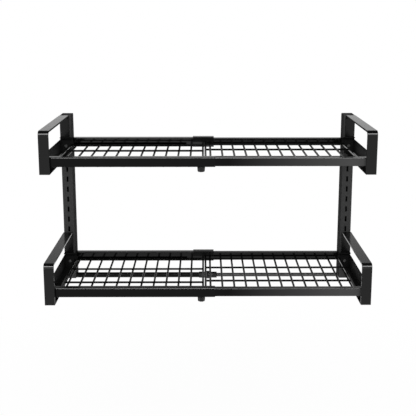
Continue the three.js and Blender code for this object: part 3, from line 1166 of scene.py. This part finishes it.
@dataclass
class WireDecks:
    """The four welded wire decks.

    Attributes:
        wire: the wires' diameter.
        sides: steps round a wire.
        smooth_deg: edges sharper than this stay sharp in the shading.
        left_first: X of the left deck's cross wire next to the joint.
        left_pitch: spacing of its cross wires, towards the left.
        right_extra: X of the right deck's own wire over the joint.
        right_first: X of its first evenly spaced cross wire.
        right_pitch: spacing of its cross wires, towards the right.
        long_depths: the left deck's two middle long wires, behind the legs' front.
        long_shift: how far behind these the right deck's lie.
        edges_left: the left deck's edge wires, in from its front and rear ends.
        edges_right: the same of the right deck.
        edge_short: how far the edge wires end before the middle long ones.
        cross_count: evenly spaced cross wires in a deck.
        depth: the rack's depth.
        tree: the tree that lays the wires, made by build.
    """

    wire: float = 4.2 * MM
    sides: int = 16
    smooth_deg: float = 50.0
    left_first: float = -9.8 * MM
    left_pitch: float = 25.4 * MM
    right_extra: float = -4.4 * MM
    right_first: float = 5.5 * MM
    right_pitch: float = 24.1 * MM
    long_depths: tuple[float, float] = (102.0 * MM, 197.5 * MM)
    long_shift: float = 4.6 * MM
    edges_left: tuple[float, float] = (2.0 * MM, 2.0 * MM)
    edges_right: tuple[float, float] = (3.3 * MM, 13.3 * MM)
    edge_short: float = 4.0 * MM
    cross_count: int = 12
    depth: float = 300.0 * MM
    tree: WireRowTree | None = field(default=None, repr=False)

    def build(self, finishes: Finishes) -> None:
        """Makes the decks and stands them for their nodes.

        Args:
            finishes: the rack's finishes.
        """
        self.tree = WireRowTree(self.sides)
        for tier in Tier:
            for hand in Hand:
                node = tier.node(f"deck_{hand.value}")
                wires = self.deck(node, hand, finishes.wire)
                dress(wires, finishes.wire, tier.body(hand), Slot.COAT, node)

    def deck(self, node: str, hand: Hand, coat: bpy.types.Material) -> bpy.types.Object:
        """One deck: cross wires and long wires, joined.

        Args:
            node: its CAD node.
            hand: which half it belongs to.
            coat: the wires' finish.

        Returns:
            The finished piece.
        """
        low, high = node_box(node)
        half = self.wire / 2
        left = hand is Hand.LEFT
        floor, top = low.z + half, high.z - half
        cross_z, long_z = (floor, top) if left else (top, floor)
        firsts = [self.left_first] if left else [self.right_first, self.right_extra]
        step = -self.left_pitch if left else self.right_pitch
        run = Vector((0.0, high.y - low.y, 0.0))
        rows = []
        for i, first in enumerate(firsts):
            rows.append(self.tree.lay(f"{node}_cross_{i}", Count=1 if i else self.cross_count,
                                      Start=(first, low.y, cross_z), Step=(step, 0.0, 0.0), Run=run,
                                      Radius=half, Finish=coat))
        shift = 0.0 if left else self.long_shift
        front, rear = self.edges_left if left else self.edges_right
        near, far = (depth - self.depth + shift for depth in self.long_depths)
        edge_z = long_z if left else cross_z
        spans = ((near, far, long_z, 0.0), (low.y + front, high.y - rear, edge_z, self.edge_short))
        for i, (first, last, level, short) in enumerate(spans):
            along = Vector((high.x - low.x - short, 0.0, 0.0))
            start = low.x + short if left else low.x
            rows.append(self.tree.lay(f"{node}_long_{i}", Count=2, Start=(start, first, level),
                                      Step=(0.0, last - first, 0.0), Run=along, Radius=half, Finish=coat))
        return self.joined(f"{node}_wires", rows)

    def joined(self, name: str, rows: Iterable[bpy.types.Object]) -> bpy.types.Object:
        """Joins rows of wires into one piece.

        Args:
            name: the piece's name.
            rows: the rows, which are removed.

        Returns:
            The finished piece.
        """
        bm = bmesh.new()
        for row in rows:
            bm.from_mesh(row.data)
            old = row.data
            bpy.data.objects.remove(row)
            bpy.data.meshes.remove(old)
        return finished(name, bm, smooth_deg=self.smooth_deg)


@dataclass
class ThumbScrews:
    """The two lobed knobs below the front rails."""

    top_r: float = 7.45 * MM
    low_r: float = 6.9 * MM
    lobes: int = 8
    swell: float = 0.07
    stud_r: float = 2.4 * MM
    stud_up: float = 1.45 * MM
    low_curve: tuple[Point2, ...] = ((0.5, 0.0), (0.8, 0.05), (0.94, 0.13), (1.0, 0.24))
    top_curve: tuple[Point2, ...] = ((1.0, 0.85), (0.985, 0.92), (0.92, 1.0))
    sides: int = 96

    def build(self, finishes: Finishes) -> None:
        """Makes the knobs and stands them for their nodes.

        Args:
            finishes: the rack's finishes.
        """
        for tier in Tier:
            node = tier.node("thumb_knob")
            dress(self.knob(node), finishes.plastic, f"{tier.value}_knob", Slot.PLASTIC, node)

    def knob(self, node: str) -> bpy.types.Object:
        """One knob with its stud, turned about its own upright axis.

        Args:
            node: its CAD node.

        Returns:
            The finished piece.
        """
        low, high = node_box(node)
        middle = (low + high) / 2
        top = high.z - self.stud_up
        tall = top - low.z
        curves = ((self.low_r, self.low_curve), (self.top_r, self.top_curve))
        profile = [(0.0, low.z)]
        profile += [(wide * share, low.z + up * tall) for wide, curve in curves for share, up in curve]
        profile += [(self.stud_r, top), (self.stud_r, high.z), (0.0, high.z)]

        def place(radius: float, height: float, angle: float) -> Vector:
            """The point in space, with the grip's radius drawn in and out to its lobes.

            Args:
                radius: the profile's radius.
                height: the profile's height along the axis.
                angle: the turn about the axis.

            Returns:
                The vertex's place.
            """
            swell = 0.0 if radius <= self.stud_r else self.swell
            lobed = radius * (1 - swell * math.cos(self.lobes * angle))
            return Vector((middle.x + lobed * math.sin(angle), middle.y + lobed * math.cos(angle), height))

        bm = bmesh.new()
        add_turned(bm, profile, place, self.sides, closed=False)
        return finished(f"{node}_grip", bm, smooth_deg=TURNED_DEG)


@dataclass
class TwistRod:
    """The telescoping rod between the posts' feet, and its twist collar."""

    outer_bore: float = 4.6 * MM
    inner_bore: float = 3.0 * MM
    socket: float = 6.2 * MM
    bore: float = 4.5 * MM
    collar_r: float = 7.1 * MM
    flange_r: float = 8.6 * MM
    neck_r: float = 6.8 * MM
    stations: tuple[float, ...] = (-19.0 * MM, -11.0 * MM, -4.0 * MM, 7.0 * MM, 21.0 * MM)
    seat: float = -0.7 * MM
    edge: float = 0.8 * MM
    flange_ease: Point2 = (0.2, 0.4)
    tip_ease: float = 0.3
    ribs: int = 30
    rib_deep: float = 0.3 * MM
    sides: int = 120
    tube_sides: int = 48

    def build(self, finishes: Finishes) -> None:
        """Makes the rod's three pieces and stands them for their nodes.

        Args:
            finishes: the rack's finishes.
        """
        for node, bore, hand, coat in (("rod_outer", self.outer_bore, Hand.LEFT, finishes.outer),
                                       ("rod_inner", self.inner_bore, Hand.RIGHT, finishes.rod)):
            dress(self.tube(node, bore), coat, hand.value, Slot.COAT, node)
        dress(self.collar(), finishes.plastic, "rod_lock", Slot.PLASTIC, "rod_collar")

    def tube(self, node: str, bore: float) -> bpy.types.Object:
        """One of the rod's two tubes.

        Args:
            node: its CAD node.
            bore: its bore's radius.

        Returns:
            The finished piece.
        """
        low, high = node_box(node)
        centre = ((low.y + high.y) / 2, (low.z + high.z) / 2)
        radius = (high.z - low.z) / 2
        bm = bmesh.new()
        add_tube(bm, circle(radius, self.tube_sides, centre), circle(bore, self.tube_sides, centre),
                 Axis.X, (low.x, high.x))
        return finished(f"{node}_tube", bm)

    def collar(self) -> bpy.types.Object:
        """The twist collar: a cone, a ribbed flange and a neck, bored for both tubes.

        Returns:
            The finished piece.
        """
        low, high = node_box("rod_collar")
        centre = (low + high) / 2
        mouth, cone, flange, neck, tip = self.stations
        edge = self.edge
        wide, slim = self.flange_r, self.neck_r
        inward, along = (share * edge for share in self.flange_ease)
        tip_cut = self.tip_ease * edge
        profile = [
            (self.socket, mouth), (self.socket + edge, mouth), (self.collar_r, cone), (self.collar_r, flange),
            (wide - inward, flange + along), (wide, flange + edge), (wide, neck - edge),
            (wide - inward, neck - along), (slim, neck), (slim, tip - edge),
            (slim - tip_cut, tip - tip_cut), (slim - edge, tip),
            (self.bore, tip), (self.bore, self.seat), (self.socket, self.seat),
        ]

        def place(radius: float, height: float, angle: float) -> Vector:
            """The point in space, with grooves between the flange's ribs.

            Args:
                radius: the profile's radius.
                height: the profile's height along the axis.
                angle: the turn about the axis.

            Returns:
                The vertex's place.
            """
            deep = self.rib_deep if radius > self.collar_r else 0.0
            turned = radius - deep * (1 - math.cos(self.ribs * angle)) / 2
            return Vector((height, centre.y + turned * math.cos(angle), centre.z + turned * math.sin(angle)))

        bm = bmesh.new()
        add_turned(bm, profile, place, self.sides, closed=True)
        return finished("rod_collar_grip", bm, smooth_deg=TURNED_DEG)


# Studio


@dataclass
class Studio:
    """Plain pale floor, soft light and the camera."""

    eye: tuple[float, float, float] = (-0.008, -1.9372, 0.5909)
    yaw_deg: float = -0.28
    pitch_deg: float = 12.71
    focal_px: float = 877.13
    frame_px: int = 416
    sensor_mm: float = 36.0
    floor_drop: float = 0.36
    floor_half: float = 12.0
    ambient: float = 0.6
    ceiling: float = 0.03
    horizon_band: tuple[float, float] = (0.02, 0.42)
    near_share: float = 0.94
    far_gain: float = 0.06
    floor_grey: float = 0.82
    lamp_place: tuple[float, float, float] = (0.0, -2.2, 1.8)
    lamp_tilt_deg: float = 52.0
    lamp_sides: Point2 = (2.0, 0.7)
    lamp_watts: float = 32.0
    clip_end: float = 100.0

    def build(self) -> None:
        """Makes the floor, the world, the lamp and the camera."""
        scene = bpy.context.scene
        scene.view_settings.view_transform = "Standard"
        self.floor()
        self.world(scene)
        self.lamp(scene)
        self.camera(scene)

    def floor(self) -> None:
        """A wide pale floor, white to the camera and in reflections, that keeps a soft shadow."""
        bm = bmesh.new()
        size = self.floor_half
        corners = [bm.verts.new((x, y, -self.floor_drop))
                   for x, y in ((-size, -size), (size, -size), (size, size), (-size, size))]
        bm.faces.new(corners)
        mesh = bpy.data.meshes.new("studio_floor")
        bm.to_mesh(mesh)
        bm.free()
        obj = link_mesh("studio_floor", mesh)
        made = bpy.data.materials.new("pale_floor")
        made.use_nodes = True
        graph = Graph(made.node_tree)
        path = graph.node("ShaderNodeLightPath")
        seen = graph.value(path, "Is Camera Ray").at_least(self.mirrored(graph, path))
        place = graph.node("ShaderNodeTexCoord").outputs["Object"]
        away = graph.value(graph.node("ShaderNodeVectorMath", {"operation": "LENGTH"}, {0: place}), "Value")
        plain = (self.near_share + self.far_gain * away).at_most(1.0)
        matt = graph.node("ShaderNodeBsdfDiffuse", None, {"Color": grey(self.floor_grey)})
        white = graph.node("ShaderNodeEmission", None, {"Color": WHITE, "Strength": 1.0})
        mixed = graph.node("ShaderNodeMixShader", None, {
            "Fac": plain * seen, 1: matt.outputs[0], 2: white.outputs[0],
        })
        graph.node("ShaderNodeOutputMaterial", None, {"Surface": mixed.outputs[0]})
        mesh.materials.append(made)

    @staticmethod
    def mirrored(graph: Graph, path: bpy.types.Node) -> Value:
        """1 for rays that show the background in reflections or through clear things."""
        return graph.value(path, "Is Glossy Ray").at_least(graph.value(path, "Is Transmission Ray"))

    def world(self, scene: bpy.types.Scene) -> None:
        """White to the camera; in reflections white up to the horizon with a dim ceiling; else a plain light.

        Args:
            scene: the scene that gets the world.
        """
        made = bpy.data.worlds.new("studio_world")
        made.use_nodes = True
        graph = Graph(made.node_tree)
        path = graph.node("ShaderNodeLightPath")
        ahead = graph.node("ShaderNodeTexCoord").outputs["Generated"]
        height = graph.value(graph.node("ShaderNodeSeparateXYZ", None, {0: ahead}), "Z")
        low, high = self.horizon_band
        above = ((height - low) * (1 / (high - low))).at_least(0.0).at_most(1.0)
        backdrop = 1 - (1 - self.ceiling) * above
        mirrored = self.mirrored(graph, path)
        light = mirrored * backdrop + (1 - mirrored) * self.ambient
        camera = graph.value(path, "Is Camera Ray")
        strength = camera + (1 - camera) * light
        back = graph.node("ShaderNodeBackground", None, {"Color": WHITE, "Strength": strength})
        graph.node("ShaderNodeOutputWorld", None, {"Surface": back.outputs[0]})
        scene.world = made

    def lamp(self, scene: bpy.types.Scene) -> None:
        """Hangs one rectangular soft lamp above the front, tilted towards the rack.

        Args:
            scene: the scene that gets the lamp.
        """
        data = bpy.data.lights.new("front_softbox", "AREA")
        data.shape = "RECTANGLE"
        data.size, data.size_y = self.lamp_sides
        data.energy = self.lamp_watts
        obj = bpy.data.objects.new("front_softbox", data)
        obj.location = self.lamp_place
        obj.rotation_euler = (math.radians(self.lamp_tilt_deg), 0.0, 0.0)
        scene.collection.objects.link(obj)

    def camera(self, scene: bpy.types.Scene) -> None:
        """Puts the camera where the photograph was taken from.

        Args:
            scene: the scene that gets the camera.
        """
        data = bpy.data.cameras.new("camera")
        data.sensor_width = self.sensor_mm
        data.lens = self.focal_px * self.sensor_mm / self.frame_px
        data.clip_end = self.clip_end
        obj = bpy.data.objects.new("camera", data)
        obj.location = self.eye
        obj.rotation_euler = (math.radians(90.0 - self.pitch_deg), 0.0, math.radians(self.yaw_deg))
        scene.collection.objects.link(obj)
        scene.camera = obj


def main() -> None:
    """Builds the rack's looks in order."""
    logging.basicConfig(level=logging.INFO, format="%(message)s")
    Studio().build()
    finishes = Finishes.build()
    for assembly in (SlottedPosts(), EndFrames(), FoldedParts(), TrayScrews(), TelescopeRails(), WireDecks(),
                     ThumbScrews(), TwistRod()):
        assembly.build(finishes)


if __name__ == "__main__":
    main()
